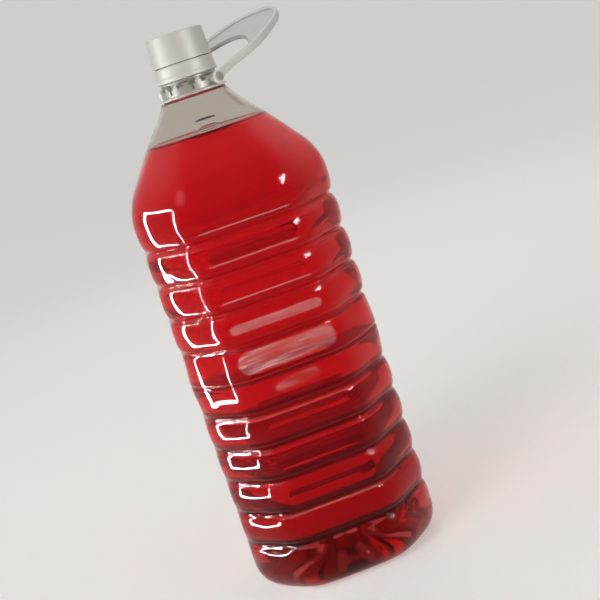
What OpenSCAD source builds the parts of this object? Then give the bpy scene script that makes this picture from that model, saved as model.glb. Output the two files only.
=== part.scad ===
// Large blown drinks bottle with a screw cap, a tamper band and a hinged carrying handle on the neck.
// Millimetres, +Z up. The origin is the middle of the base, on the surface that the bottle stands on.
// The front face looks along -Y. The handle points over the corner between +X and +Y.

/* [Body] */
// Width across opposite flat faces
body_w = 131; // [120:1:142]
// Width of one flat face, between two corner chamfers
face_w = 68; // [58:1:78]
// Distance that the upright corner edges are cut back from sharp
corner_trim = 1; // [0.4:0.1:1.6]
// Height of the ribbed body, from the base to the shoulder
body_h = 259; // [233:1:285]
// Height of the shoulder, from the ribbed body to the neck flange
shoulder_h = 71.2; // [66:0.2:80]
// Thickness of the blown wall
wall = 0.7; // [0.5:0.1:1.1]

/* [Grooves] */
// Number of grooves round the body
groove_count = 10; // [6:1:10]
// Height from the base to the lowest groove
foot_panel_h = 35.6; // [30:0.1:44]
// Height from the top groove to the foot of the shoulder
top_panel_h = 14.6; // [11:0.1:20]
// Depth of a groove
groove_depth = 3.2; // [2:0.1:4.5]
// Height of a groove where it opens
groove_h = 9.6; // [7:0.1:12]
// Which groove, counted from the top, is only a fine line
fine_groove = 5; // [2:1:6]
// Depth of the fine line
fine_depth = 0.8; // [0.4:0.1:1.4]
// Height of the fine line where it opens
fine_h = 3.4; // [2:0.1:5]
// Height of the sunk band along each flat face, between two grooves
band_h = 6.6; // [4:0.1:8]
// Depth of that band
band_depth = 0.6; // [0.3:0.1:1]

/* [Base] */
// Height of the rounded heel
heel_h = 17; // [12:0.5:20]
// Distance that the heel draws in at the base
heel_in = 13; // [9:0.5:16]
// Radius of the push-up in the middle of the base
pushup_r = 38; // [30:1:42]
// Height of the push-up
pushup_h = 11; // [7:0.5:16]
// Number of channels that run out from the push-up
channel_count = 8; // [4:1:10]
// Radius of a channel
channel_r = 4.2; // [3:0.1:5]
// How far the channels reach from the middle of the base
channel_reach = 43; // [40:0.5:44]

/* [Shoulder mark] */
// Width of the small raised pad on the front of the shoulder
pad_w = 12.4; // [8:0.2:16]
// Height of the pad along the slope
pad_h = 7.6; // [5:0.2:10]
// How far the pad stands out
pad_rise = 0.8; // [0.4:0.1:1.2]
// Distance of the pad's middle below the neck flange
pad_drop = 19.7; // [16:0.1:28]

/* [Neck] */
// Outer radius of the neck
neck_r = 16.4; // [15.6:0.1:16.8]
// Thickness of the neck wall
neck_wall = 2.2; // [1.6:0.1:3]
// Radius of the support flange
flange_r = 22.9; // [22.4:0.1:24.4]
// Thickness of the support flange
flange_h = 1.6; // [1.2:0.1:2.4]
// Radius of the stop bead above the collar
bead_r = 18.6; // [18:0.1:19]
// Thickness of the stop bead
bead_h = 1.8; // [1.4:0.1:2.2]
// Number of ratchet teeth under the bead
tooth_count = 12; // [6:1:16]
// Width of a ratchet tooth
tooth_w = 3; // [2:0.1:4]

/* [Cap] */
// Outer radius at the foot of the tamper band
band_foot_r = 20.2; // [20:0.1:20.8]
// Outer radius at the top of the cap
cap_top_r = 18.9; // [18.7:0.1:19.4]
// Height of the tamper band
tamper_h = 9.8; // [8:0.1:11]
// Height of the cap
cap_h = 18.7; // [17:0.1:21]
// Width of the open seam between band and cap
seam = 0.5; // [0.3:0.1:0.8]
// Thickness of the cap's side
cap_wall = 1.3; // [1:0.1:1.4]
// Thickness of the cap's top
cap_top_t = 1.8; // [1.2:0.1:2.4]
// Rounding of the cap's top edge
cap_edge = 1; // [0.5:0.1:1.2]
// Thickness of the sealing disc in the cap
liner_t = 1.2; // [0.8:0.1:1.6]

/* [Handle] */
// Height of the collar
collar_h = 6.6; // [6:0.1:7.2]
// Outer radius of the collar
collar_r = 20; // [19.6:0.1:20.6]
// Radial play of the collar on the neck
collar_play = 0.4; // [0.3:0.05:0.8]
// Height left between the collar and the stop bead
collar_gap = 1.2; // [0.8:0.1:2]
// Number of snap slots round the collar
slot_count = 8; // [4:1:12]
// Width of a snap slot
slot_w = 1.3; // [0.8:0.1:2]
// Radius of the hinge pins
pin_r = 1.9; // [1.5:0.1:2.2]
// Play of the pins in their eyes
pin_play = 0.1; // [0.05:0.01:0.1]
// Thickness of the handle's arms and rim
arm_t = 2.6; // [2:0.1:3]
// Height of the arms and rim, square to the handle's plane
arm_h = 5.4; // [4:0.1:6]
// Reach of the handle, from its hinge to its tip
handle_l = 101; // [94:1:112]
// Widest half width of the handle
handle_half_w = 36; // [32:0.5:40]
// Reach of the finger gap, from the hinge
gap_l = 61; // [58.5:0.5:66]
// Thickness of the grip plate
plate_t = 1.8; // [1.4:0.1:2.6]
// Tilt of the handle above level at rest
handle_tilt = 20; // [0:1:60]

/* [Liquid] */
// Depth of the liquid's surface below the neck flange
fill_drop = 24.6; // [16:0.2:40]

/* [Hidden] */
$fn = 96;

// Surfaces that only have to cut past one another reach this much further
over = 1;
// Play between the liquid and the wall, so that the two never share volume
film = 0.05;

face_reach = body_w / 2;
// Distance of a chamfer from the axis, so that the flat faces come out face_w wide
chamfer_reach = (body_w + face_w) / 2 / sqrt(2);
edge_reach = sqrt(pow(body_w / 2, 2) + pow(face_w / 2, 2)) - corner_trim;

// Faces and chamfers turn in over turn_h and turn_in, and then run straight up to the neck
flange_z = body_h + shoulder_h;
turn_h = 23;
turn_in = 7;
turn_power = 2.1;
// The upright edges go on turning in a little above the walls
edge_turn_extra = 1.5;
shoulder_top_r = 21.4;
// The neck flares into the shoulder over this height, up to this radius
flare_h = 12.6;
flare_r = 31.1;
// The neck's bore starts this far below the flange
bore_dip = 4;
// The flat planes stay outside the round flare at the neck, so that the bottle is round there
plane_top_r = 22.6;
face_slope = (face_reach - turn_in - plane_top_r) / (shoulder_h - turn_h);

bead_z = flange_z + flange_h + collar_h + collar_gap;
band_z = bead_z + bead_h;
cap_z = band_z + tamper_h + seam;
cap_top_z = cap_z + cap_h;
liner_z = cap_top_z - cap_top_t - liner_t;
neck_top_z = liner_z;
bore_r = neck_r - neck_wall;
// Outer radius of the cap's foot, on one straight taper from the foot of the tamper band
cap_foot_r = band_foot_r - (band_foot_r - cap_top_r) * (tamper_h + seam) / (tamper_h + seam + cap_h);
band_top_r = band_foot_r - (band_foot_r - cap_top_r) * tamper_h / (tamper_h + seam + cap_h);
cap_bore_r = cap_top_r - cap_wall;
liner_play = 0.3;
// The band's lip hooks over the neck above the bead
band_bore_r = band_top_r - cap_wall;
lip_reach = 0.7;
lip_r = neck_r + lip_reach;
lip_h = 1.2;
lip_slope = 1;
tooth_h = 1.1;
tooth_reach = 0.5;
fill_z = flange_z - fill_drop;

// Hinge of the handle
ear_crown = 0.1;
ear_r = collar_h / 2 + ear_crown;
ear_play = 0.3;
ear_lead = 0.2;
ear_reach = flange_r + ear_lead;
pin_rise = 0.5;
collar_z = flange_z + flange_h;
pin_z = collar_z + collar_h / 2 + pin_rise;
eye_wall = 2.1;
eye_r = pin_r + pin_play + eye_wall;
pin_head_lip = 1;
pin_head_r = pin_r + pin_head_lip;
pin_head_t = 0.8;
handle_turn = 45;
slot_floor = 1.6;
// Half width of the outline at the hinge, where the arms run straight for a short way
hinge_half_w = ear_reach + ear_play + arm_t;
straight_l = 6;
widest_l = 44;
outline_power = 2.3;
// The finger gap keeps this far from the rim's inside, and its parabola starts this far before the widest place
gap_side = 4;
gap_start = 7;
gap_slant = 3;
arm_step = 4;
lip_w = 2;
lip_extra = 1.2;

// The grooves share out the height between the top panel and the foot panel
groove_pitch = (body_h - top_panel_h - foot_panel_h) / (groove_count - 1);

// Groove i, counted from 0 at the top
function groove_z(i) = body_h - top_panel_h - i * groove_pitch;
function is_fine(i) = i == fine_groove - 1;
function groove_deep(i) = is_fine(i) ? fine_depth : groove_depth;
function groove_half(i) = (is_fine(i) ? fine_h : groove_h) / 2;

// One groove as a smooth dip, from its lower lip to its upper lip
function groove(reach, i) = [
    for (s = [-1, -0.62, -0.28, 0, 0.28, 0.62, 1])
        [reach - groove_deep(i) * (1 + cos(180 * s)) / 2, groove_z(i) + s * groove_half(i)]
];

// The sunk band along a flat face, under groove i
function face_band(reach, i) =
    let (z = groove_z(i) - groove_pitch / 2, h = band_h / 2, slope = band_depth)
    [
        [reach, z - h - slope], [reach - band_depth, z - h],
        [reach - band_depth, z + h], [reach, z + h + slope]
    ];

function joined(lists) = [for (list = lists) for (point = list) point];

// The body's grooves, from the lowest to the highest, with bands between them on the flat faces only
function grooves(reach, banded) = joined([
    for (i = [groove_count - 1 : -1 : 0])
        concat(banded && i < groove_count - 1 ? face_band(reach, i) : [], groove(reach, i))
]);

// The heel turns in along a quarter of an ellipse, in the given number of steps
function heel(reach, floor_z, steps) = [
    for (k = [0 : steps])
        let (a = 90 * k / steps)
        [reach - heel_in * (1 - sin(a)), floor_z + (heel_h - floor_z) * (1 - cos(a))]
];

// The turn from the body into the shoulder over the given height, before its straight slope up to the neck
function shoulder_turn(reach, height, steps) = [
    for (k = [0 : steps])
        let (h = height * k / steps)
        [reach - turn_in * pow(h / turn_h, turn_power), body_h + h]
];

// The side of a flat face or of a chamfer
function wall_profile(reach, floor_z, banded) = concat(
    heel(reach, floor_z, 4), grooves(reach, banded), shoulder_turn(reach, turn_h, 3)
);

// The line of the upright edges. Its bends lie at other heights than those of the walls, so no four surfaces
// meet in one point
function edge_profile(reach, floor_z) = concat(
    heel(reach, floor_z, 5), shoulder_turn(reach, turn_h + edge_turn_extra, 5)
);

function mirrored(points) = concat(
    points, [for (k = [len(points) - 1 : -1 : 0]) [-points[k][0], points[k][1]]]
);

// A wall with the given side profile on both sides of the axis
module profile_wall(points) {
    rotate([90, 0, 0])
        linear_extrude(height = 2 * body_w, center = true)
            polygon(mirrored(points));
}

// The inside or outside form of the blown body, drawn in by inset all round
module body_form(inset) {
    plane_top = [[plane_top_r - inset, flange_z]];
    flare = [[flare_r - inset, flange_z - flare_h], [shoulder_top_r - inset, flange_z]];
    faces = concat(wall_profile(face_reach - inset, inset, true), plane_top);
    chamfers = concat(wall_profile(chamfer_reach - inset, inset, false), plane_top);
    edges = concat(edge_profile(edge_reach - inset, inset), flare);
    intersection() {
        profile_wall(faces);
        rotate([0, 0, 90]) profile_wall(faces);
        rotate([0, 0, 45]) profile_wall(chamfers);
        rotate([0, 0, 135]) profile_wall(chamfers);
        rotate_extrude() polygon(concat([[0, inset]], edges, [[0, flange_z]]));
    }
}

// What the base pushes up into the bottle: a shallow dome with channels that run out towards the heel
module pushup(grow) {
    dome_r = (pow(pushup_r, 2) + pow(pushup_h, 2)) / 2 / pushup_h;
    translate([0, 0, pushup_h - dome_r])
        sphere(r = dome_r + grow);
    for (k = [0 : channel_count - 1])
        rotate([0, 0, (k + 0.5) * 360 / channel_count])
            translate([0, 0, -channel_r / 3]) {
                rotate([0, 90, 0]) cylinder(r = channel_r + grow, h = channel_reach, $fn = 48);
                translate([channel_reach, 0, 0]) sphere(r = channel_r + grow, $fn = 48);
            }
}

// The room inside the blown body, below the neck
module cavity(inset) {
    difference() {
        body_form(inset);
        pushup(inset);
    }
}

// A small raised pad on the slope of the front face
module shoulder_pad() {
    sunk = 2;
    translate([0, -plane_top_r - pad_drop * face_slope, flange_z - pad_drop])
        rotate([90 - atan(face_slope), 0, 0])
            translate([-pad_w / 2, -pad_h / 2, -sunk])
                cube([pad_w, pad_h, sunk + pad_rise]);
}

module neck_outside() {
    translate([0, 0, flange_z - over]) cylinder(r = neck_r, h = neck_top_z - flange_z + over);
    translate([0, 0, flange_z]) cylinder(r = flange_r, h = flange_h);
    translate([0, 0, bead_z]) cylinder(r = bead_r, h = bead_h);
    for (k = [0 : tooth_count - 1])
        rotate([0, 0, k * 360 / tooth_count])
            translate([neck_r - over, -tooth_w / 2, bead_z - tooth_h])
                cube([bead_r - neck_r + over - tooth_reach, tooth_w, tooth_h + bead_h / 2]);
}

// Bottle: one blown shell with its neck, support flange and stop bead
module bottle() {
    color([0.80, 0.80, 0.76, 0.45])
        difference() {
            union() {
                body_form(0);
                neck_outside();
                shoulder_pad();
            }
            cavity(wall);
            pushup(0);
            translate([0, 0, flange_z - bore_dip])
                cylinder(r = bore_r, h = neck_top_z - flange_z + bore_dip + over);
        }
}

// Liquid: what fills the bottle up to the shoulder
module liquid() {
    color([0.66, 0.02, 0.04, 0.9])
        intersection() {
            cavity(wall + film);
            translate([0, 0, fill_z / 2]) cube([body_w, body_w, fill_z], center = true);
        }
}

// Screw cap: a plain tapered cup with a rounded top edge
module screw_cap() {
    color([0.93, 0.92, 0.88])
        difference() {
            translate([0, 0, cap_z])
                rotate_extrude()
                    polygon(concat(
                        [[0, 0], [cap_foot_r, 0]],
                        [
                            for (a = [0 : 15 : 90])
                                [cap_top_r - cap_edge * (1 - cos(a)), cap_h - cap_edge * (1 - sin(a))]
                        ],
                        [[0, cap_h]]
                    ));
            translate([0, 0, cap_z - over])
                cylinder(r = cap_bore_r, h = cap_h - cap_top_t + over);
        }
}

// Cap liner: the sealing disc that the cap presses on the mouth
module cap_liner() {
    color([0.86, 0.86, 0.84])
        translate([0, 0, liner_z]) cylinder(r = cap_bore_r - liner_play, h = liner_t);
}

// Tamper band: the ring that stays on the neck, with a lip above the stop bead
module tamper_band() {
    color([0.93, 0.92, 0.88])
        translate([0, 0, band_z])
            rotate_extrude()
                polygon([
                    [lip_r, 0], [band_foot_r, 0], [band_top_r, tamper_h],
                    [band_bore_r, tamper_h], [band_bore_r, lip_h + lip_slope], [lip_r, lip_h]
                ]);
}

// Turns a child drawn along +Y to each side of the handle's hinge
module at_each_pin() {
    rotate([0, 0, handle_turn])
        translate([0, 0, pin_z])
            for (side = [-90, 90])
                rotate([side, 0, 0]) children();
}

// Handle collar: a slotted snap ring between the flange and the bead, with the two hinge pins
module handle_collar() {
    color([0.88, 0.88, 0.85])
        difference() {
            union() {
                translate([0, 0, collar_z]) cylinder(r = collar_r, h = collar_h);
                at_each_pin() {
                    cylinder(r = ear_r, h = ear_reach, $fn = 48);
                    cylinder(r = pin_r, h = hinge_half_w + ear_play + pin_head_t, $fn = 48);
                    translate([0, 0, hinge_half_w + ear_play])
                        cylinder(r = pin_head_r, h = pin_head_t, $fn = 48);
                }
            }
            translate([0, 0, collar_z - over])
                cylinder(r = neck_r + collar_play, h = collar_h + 2 * over);
            translate([0, 0, collar_z + collar_h])
                cylinder(r = bead_r + collar_play, h = collar_gap);
            for (k = [0 : slot_count - 1])
                rotate([0, 0, k * 360 / slot_count])
                    translate([0, -slot_w / 2, collar_z + slot_floor])
                        cube([collar_r + over, slot_w, collar_h]);
        }
}

// Half width of the handle's outline, and its points from the hinge round the tip; in draws it inwards
function arm_half_w(u, in) =
    let (s = min(1, max(0, (u - straight_l) / (widest_l - straight_l))))
    hinge_half_w + (handle_half_w - hinge_half_w) * (1 - cos(180 * s)) / 2 - in;

function half_outline(in) = concat(
    [for (u = [0 : arm_step : widest_l - arm_step]) [u, arm_half_w(u, in)]],
    [
        for (a = [0 : 9 : 90])
            [
                widest_l + (handle_l - widest_l - in) * pow(sin(a), 2 / outline_power),
                (handle_half_w - in) * pow(cos(a), 2 / outline_power)
            ]
    ]
);

function full_outline(in) =
    let (half = half_outline(in))
    concat(half, [for (k = [len(half) - 2 : -1 : 0]) [half[k][0], -half[k][1]]]);

// The finger gap ends in a parabola; in draws it towards the hinge
function gap_outline(in) =
    let (
        w = handle_half_w - arm_t - gap_side,
        l = gap_l - in,
        start_l = widest_l - gap_start,
        deep = gap_l - start_l
    )
    concat(
        [[-over - eye_r, -handle_half_w]],
        [[start_l - gap_slant - in, -handle_half_w]],
        [for (v = [-w : w / 8 : w]) [l - deep * pow(v / w, 2), v]],
        [[start_l - gap_slant - in, handle_half_w]],
        [[-over - eye_r, handle_half_w]]
    );

module flat(t) {
    translate([0, 0, -t / 2]) linear_extrude(height = t) children();
}

// Handle: two arms with a hinge eye each, a rim and a grip plate, moulded as one
module handle() {
    color([0.84, 0.84, 0.81])
        rotate([0, 0, handle_turn])
            translate([0, 0, pin_z])
                rotate([0, -handle_tilt, 0])
                    difference() {
                        union() {
                            flat(arm_h) difference() {
                                polygon(full_outline(0));
                                translate([-0.01, 0]) polygon(full_outline(arm_t));
                            }
                            flat(plate_t) difference() {
                                polygon(full_outline(arm_t / 2));
                                polygon(gap_outline(0));
                            }
                            flat(plate_t + lip_extra) intersection() {
                                difference() {
                                    polygon(full_outline(arm_t / 2));
                                    polygon(gap_outline(0));
                                }
                                polygon(gap_outline(-lip_w));
                            }
                            for (side = [-1, 1])
                                translate([0, side * (hinge_half_w - arm_t / 2), 0])
                                    rotate([90, 0, 0])
                                        cylinder(r = eye_r, h = arm_t, center = true, $fn = 48);
                        }
                        rotate([90, 0, 0])
                            cylinder(r = pin_r + pin_play, h = 3 * handle_half_w, center = true, $fn = 48);
                    }
}

bottle();
liquid();
screw_cap();
cap_liner();
tamper_band();
handle_collar();
handle();
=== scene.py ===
"""Dresses a large ribbed bottle of red drink, with its screw cap, tamper band and neck handle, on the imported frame."""

import logging
from dataclasses import dataclass, field, replace
from enum import Enum
from typing import ClassVar

import bpy
import numpy as np
from mathutils import Matrix, Vector


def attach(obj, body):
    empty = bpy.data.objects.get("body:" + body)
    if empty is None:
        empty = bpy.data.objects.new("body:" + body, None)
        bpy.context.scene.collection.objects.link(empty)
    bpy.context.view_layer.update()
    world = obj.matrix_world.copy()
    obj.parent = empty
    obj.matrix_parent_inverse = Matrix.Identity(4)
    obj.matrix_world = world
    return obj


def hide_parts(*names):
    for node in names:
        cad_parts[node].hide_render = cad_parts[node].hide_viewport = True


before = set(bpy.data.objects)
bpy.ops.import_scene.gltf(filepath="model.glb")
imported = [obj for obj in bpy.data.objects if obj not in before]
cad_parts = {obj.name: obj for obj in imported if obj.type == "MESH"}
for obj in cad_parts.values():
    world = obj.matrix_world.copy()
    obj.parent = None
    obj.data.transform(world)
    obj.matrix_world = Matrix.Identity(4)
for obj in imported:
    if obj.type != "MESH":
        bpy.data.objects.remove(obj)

log = logging.getLogger("bottle")
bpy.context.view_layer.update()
MM = 0.001
TURN = 2.0 * np.pi


class Body(str, Enum):
    """The bodies of the frame that new pieces ride on."""

    BOTTLE = "bottle"
    COLLAR = "collar"
    HANDLE = "handle"
    CAP = "cap"


class Slot(str, Enum):
    """The record's material slots."""

    CLEAR = "clear_plastic"
    LIQUID = "red_liquid"
    WHITE = "white_plastic"
    FOAM = "liner_foam"
    NATURAL = "natural_plastic"


class End(str, Enum):
    """How the first and the last row of a grid end."""

    POLE = "drawn together in a pole"
    RING = "joined to each other"


def smooth_step(x: np.ndarray) -> np.ndarray:
    """Rises from 0 to 1 as x goes from 0 to 1, level at both ends: 3 x squared less 2 x cubed."""
    x = np.clip(x, 0.0, 1.0)
    return x * x * (3.0 - 2.0 * x)


def grid_mesh(name: str, points: np.ndarray, end: End, sharp_deg: float = 180.0) -> bpy.types.Object:
    """Makes a closed mesh from a grid of points whose columns close on themselves.

    Columns run counter-clockwise as seen from outside, and rows run up the outside, so faces point outwards.

    Args:
        name: The object's name.
        points: Rows x columns x 3, in metres.
        end: Poles draw the first and the last row to their mean points; a ring joins the last row to the first.
        sharp_deg: Edges that bend by more than this are shaded sharp.

    Returns:
        The mesh object, linked to the scene.
    """
    rows, columns = points.shape[:2]
    i = np.arange(rows - (end is End.POLE))[:, None]
    j = np.arange(columns)[None, :]
    below, above, ahead = i * columns, ((i + 1) % rows) * columns, (j + 1) % columns
    quads = np.stack([below + j, below + ahead, above + ahead, above + j], -1).reshape(-1, 4)
    vertices = points.reshape(-1, 3)
    fans = np.zeros((0, 3), np.int64)
    if end is End.POLE:
        vertices = np.vstack([vertices, points[0].mean(0), points[-1].mean(0)])
        first, last = np.arange(columns), (rows - 1) * columns + np.arange(columns)
        low, high = rows * columns, rows * columns + 1
        fans = np.vstack([
            np.stack([np.full(columns, low), np.roll(first, -1), first], -1),
            np.stack([np.full(columns, high), last, np.roll(last, -1)], -1),
        ])
    mesh = bpy.data.meshes.new(name)
    mesh.vertices.add(len(vertices))
    mesh.vertices.foreach_set("co", vertices.astype(np.float32).ravel())
    mesh.loops.add(quads.size + fans.size)
    mesh.loops.foreach_set("vertex_index", np.concatenate([quads.ravel(), fans.ravel()]).astype(np.int32))
    mesh.polygons.add(len(quads) + len(fans))
    starts = np.concatenate([np.arange(len(quads)) * 4, quads.size + np.arange(len(fans)) * 3])
    mesh.polygons.foreach_set("loop_start", starts.astype(np.int32))
    mesh.update(calc_edges=True)
    mesh.validate()
    mesh.polygons.foreach_set("use_smooth", np.ones(len(mesh.polygons), bool))
    if sharp_deg < 180.0:
        mesh.set_sharp_from_angle(angle=np.radians(sharp_deg))
    obj = bpy.data.objects.new(name, mesh)
    bpy.context.scene.collection.objects.link(obj)
    return obj


def round_axis(r: np.ndarray, angle: np.ndarray, z: np.ndarray) -> np.ndarray:
    """Points at radius r and height z: x is r cos a, y is r sin a."""
    return np.stack([r * np.cos(angle), r * np.sin(angle), z + 0.0 * angle], -1)


def lathe(name: str, profile: np.ndarray, columns: int, end: End, sharp_deg: float = 30.0) -> bpy.types.Object:
    """Turns a profile of (radius, height) round the axis.

    Args:
        name: The object's name.
        profile: N x 2 in millimetres, up the outside and down the inside.
        columns: Steps round the axis.
        end: How the profile's two ends meet.
        sharp_deg: Edges that bend by more than this are shaded sharp.

    Returns:
        The mesh object.
    """
    angle = np.arange(columns) * TURN / columns
    points = round_axis(profile[:, :1], angle, profile[:, 1:])
    return grid_mesh(name, points * MM, end, sharp_deg)


def rounded_profile(corners: list[tuple[float, float, float]], steps: int = 5) -> np.ndarray:
    """Rounds each corner of a closed (radius, height) outline.

    Near a corner C with neighbours P and N the line is the curve (1-t)^2 A + 2 t (1-t) C + t^2 B, where A and B lie
    on the two sides at the rounding's distance from C.

    Args:
        corners: (radius, height, rounding) in millimetres, in order.
        steps: Points on each rounding.

    Returns:
        N x 2 points of the rounded outline.
    """
    data = np.array(corners, float)
    here, before, after = data[:, :2], np.roll(data[:, :2], 1, 0), np.roll(data[:, :2], -1, 0)
    size = data[:, 2:]

    def toward(other: np.ndarray) -> np.ndarray:
        """Where each rounding meets a side.

        Args:
            other: The corners at the sides' other ends.

        Returns:
            The points towards other, at the rounding's distance.
        """
        gap = other - here
        length = np.linalg.norm(gap, axis=1, keepdims=True)
        return here + gap / length * np.minimum(size, 0.49 * length)

    a, b = toward(before), toward(after)
    t = np.linspace(0.0, 1.0, steps)[None, :, None]
    curve = (1 - t) ** 2 * a[:, None] + 2 * t * (1 - t) * here[:, None] + t**2 * b[:, None]
    return curve.reshape(-1, 2)


def sweep(name: str, path: np.ndarray, across: np.ndarray, up: np.ndarray, section: np.ndarray) -> bpy.types.Object:
    """Carries a section along a path: each point is path + a across + b up for the section's (a, b).

    Args:
        name: The object's name.
        path: N x 3 points in metres.
        across: N x 3 unit vectors, square to the path.
        up: N x 3 unit vectors, square to both.
        section: N x M x 2 or M x 2 offsets in metres, counter-clockwise as seen against the path.

    Returns:
        The mesh object, closed at both ends by a pole.
    """
    section = np.broadcast_to(section, (len(path), *section.shape[-2:]))
    points = path[:, None] + section[..., :1] * across[:, None] + section[..., 1:] * up[:, None]
    return grid_mesh(name, points, End.POLE)


def superellipse(half_a: float, half_b: float, power: float, steps: int) -> np.ndarray:
    """A rounded rectangle: a is A sign(cos t) |cos t|^(2/p), and b is B sign(sin t) |sin t|^(2/p).

    Args:
        half_a: A, half the size along a.
        half_b: B, half the size along b.
        power: p; 2 gives an ellipse, and more gives squarer corners.
        steps: Points round it.

    Returns:
        Steps x 2 points, counter-clockwise.
    """
    t = (np.arange(steps) + 0.5) * TURN / steps
    c, s = np.cos(t), np.sin(t)
    return np.stack([
        half_a * np.sign(c) * np.abs(c) ** (2 / power), half_b * np.sign(s) * np.abs(s) ** (2 / power)
    ], -1)


class Flow:
    """A number or colour that flows through a node tree, so that shader maths reads as plain expressions."""

    def __init__(self, tree: "Finish", out: bpy.types.NodeSocket) -> None:
        """Keeps the tree that the socket belongs to."""
        self.tree, self.out = tree, out

    def maths(self, operation: str, first: "Flow | float", second: "Flow | float") -> "Flow":
        """Adds one Math node.

        Args:
            operation: The Math node's operation.
            first: The upper value.
            second: The lower value.

        Returns:
            The node's result.
        """
        return self.tree.node("ShaderNodeMath", {"operation": operation}, {0: first, 1: second})

    def __add__(self, other: "Flow | float") -> "Flow":
        """Sum."""
        return self.maths("ADD", self, other)

    __radd__ = __add__

    def __mul__(self, other: "Flow | float") -> "Flow":
        """Product."""
        return self.maths("MULTIPLY", self, other)

    __rmul__ = __mul__

    def __sub__(self, other: "Flow | float") -> "Flow":
        """Difference."""
        return self.maths("SUBTRACT", self, other)

    def __rsub__(self, other: float) -> "Flow":
        """Difference, the other way round."""
        return self.maths("SUBTRACT", other, self)

    def __truediv__(self, other: "Flow | float") -> "Flow":
        """Quotient."""
        return self.maths("DIVIDE", self, other)

    def __pow__(self, other: float) -> "Flow":
        """Power."""
        return self.maths("POWER", self, other)

    def between(self, low: float, high: float) -> "Flow":
        """Rises smoothly from 0 at low to 1 at high."""
        ramp = {"interpolation_type": "SMOOTHSTEP"}
        return self.tree.node("ShaderNodeMapRange", ramp, {"Value": self, "From Min": low, "From Max": high})

    def stretch(self, low: tuple[float, float], high: tuple[float, float]) -> "Flow":
        """A stretch of heights: 1 between two ends, each with its fade on either side, in millimetres.

        Args:
            low: The lower end's height and fade.
            high: The upper end's height and fade.

        Returns:
            1 inside the stretch, and 0 outside.
        """
        rise = self.between((low[0] - low[1]) * MM, (low[0] + low[1]) * MM)
        return rise * (1.0 - self.between((high[0] - high[1]) * MM, (high[0] + high[1]) * MM))


Colour = tuple[float, float, float]


@dataclass(frozen=True)
class Finish:
    """One finish: its name and colour. A kind of finish adds its own values and paints its own nodes."""

    name: str
    colour: Colour

    def node(self, kind: str, settings: dict | None = None, sockets: dict | None = None, output: int | str = 0) -> Flow:
        """Adds any node.

        Args:
            kind: The node's type.
            settings: Its own settings, set first.
            sockets: Values, colours or flows, by socket name or number.
            output: The output to return.

        Returns:
            The chosen output as a flow.
        """
        made = self.tree.nodes.new(kind)
        for key, value in (settings or {}).items():
            setattr(made, key, value)
        for key, value in (sockets or {}).items():
            socket = made.inputs[key]
            if isinstance(value, Flow):
                self.tree.links.new(value.out, socket)
            elif isinstance(value, tuple) and socket.type == "RGBA":
                socket.default_value = (*value, 1.0)
            else:
                socket.default_value = value
        return Flow(self, made.outputs[output])

    @property
    def material(self) -> bpy.types.Material:
        """This finish's material.

        Returns:
            The material, made when it is first asked for.
        """
        found = bpy.data.materials.get(self.name)
        if found is None:
            found = bpy.data.materials.new(self.name)
            found.use_nodes = True
            found.node_tree.nodes.clear()
            self.paint()
        return found

    @property
    def tree(self) -> bpy.types.NodeTree:
        """The material's node tree."""
        return bpy.data.materials[self.name].node_tree

    def place(self) -> Flow:
        """Object coordinates, in metres."""
        return self.node("ShaderNodeTexCoord", output="Object")

    def height(self) -> Flow:
        """Height above the base, in metres."""
        return self.node("ShaderNodeSeparateXYZ", None, {0: self.place()}, "Z")

    def noise(self, grain_mm: float, detail: float = 2.0) -> Flow:
        """Even noise from 0 to 1 whose lumps are about grain_mm apart."""
        sockets = {"Vector": self.place(), "Scale": 1000.0 / grain_mm, "Detail": detail}
        return self.node("ShaderNodeTexNoise", None, sockets)

    def bumps(self, height: Flow, depth_mm: float) -> Flow:
        """A normal from a height that runs from 0 to 1, for a relief of the given depth."""
        sockets = {"Height": height, "Strength": 1.0, "Distance": depth_mm * MM}
        return self.node("ShaderNodeBump", None, sockets, "Normal")

    def mix_colour(self, share: Flow | float, first: Colour | Flow, second: Colour | Flow) -> Flow:
        """The first colour where share is 0 and the second where it is 1."""
        return self.node("ShaderNodeMix", {"data_type": "RGBA"}, {0: share, 6: first, 7: second}, 2)

    def finish_with(
        self, surface: Flow, volume: Flow | None = None, kind: str = "ShaderNodeOutputMaterial"
    ) -> None:
        """Wires the output.

        Args:
            surface: The surface's shader.
            volume: The shader for what is inside, if there is one.
            kind: The output node's type.
        """
        made = self.tree.nodes.new(kind)
        self.tree.links.new(surface.out, made.inputs["Surface"])
        if volume is not None:
            self.tree.links.new(volume.out, made.inputs["Volume"])

    def paint(self) -> None:
        """Adds this finish's nodes to its empty tree."""
        raise NotImplementedError


@dataclass(frozen=True)
class Band:
    """A flat band with round ends on the front face: its sizes in millimetres, and its shares plain and streaked."""

    centre: float
    half_h: float
    half_l: float
    plain: float
    soft: float = 0.7
    streaked: float = 0.0


# Painted shade: dark bands on two sunk panels of the front face, and dark lines along the top and bottom edges of the
# shoulder pad
SHADES = (
    Band(232.8, 3.0, 25.0, 0.3), Band(93.6, 2.4, 27.0, 0.35), Band(313.7, 0.5, 5.8, 0.8, 0.3),
    Band(307.0, 0.3, 5.8, 0.55, 0.3),
)
# Painted highlights: a pale streaked patch, bands and thin lines along the ribs on the front face, in place of lamps
# mirrored there
PAINTED_HIGHLIGHTS = (
    Band(163.6, 7.0, 25.0, 0.02, 1.2, 0.42), Band(186.4, 3.0, 27.0, 0.07, 0.7, 0.26),
    Band(144.0, 3.8, 11.0, 0.0, 1.5, 0.18), Band(249.6, 0.3, 29.0, 0.3, 0.35), Band(228.6, 0.3, 29.0, 0.3, 0.35),
    Band(204.4, 0.3, 29.0, 0.3, 0.35), Band(126.0, 0.3, 29.0, 0.1, 0.35), Band(57.0, 0.3, 29.0, 0.16, 0.35),
)


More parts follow.
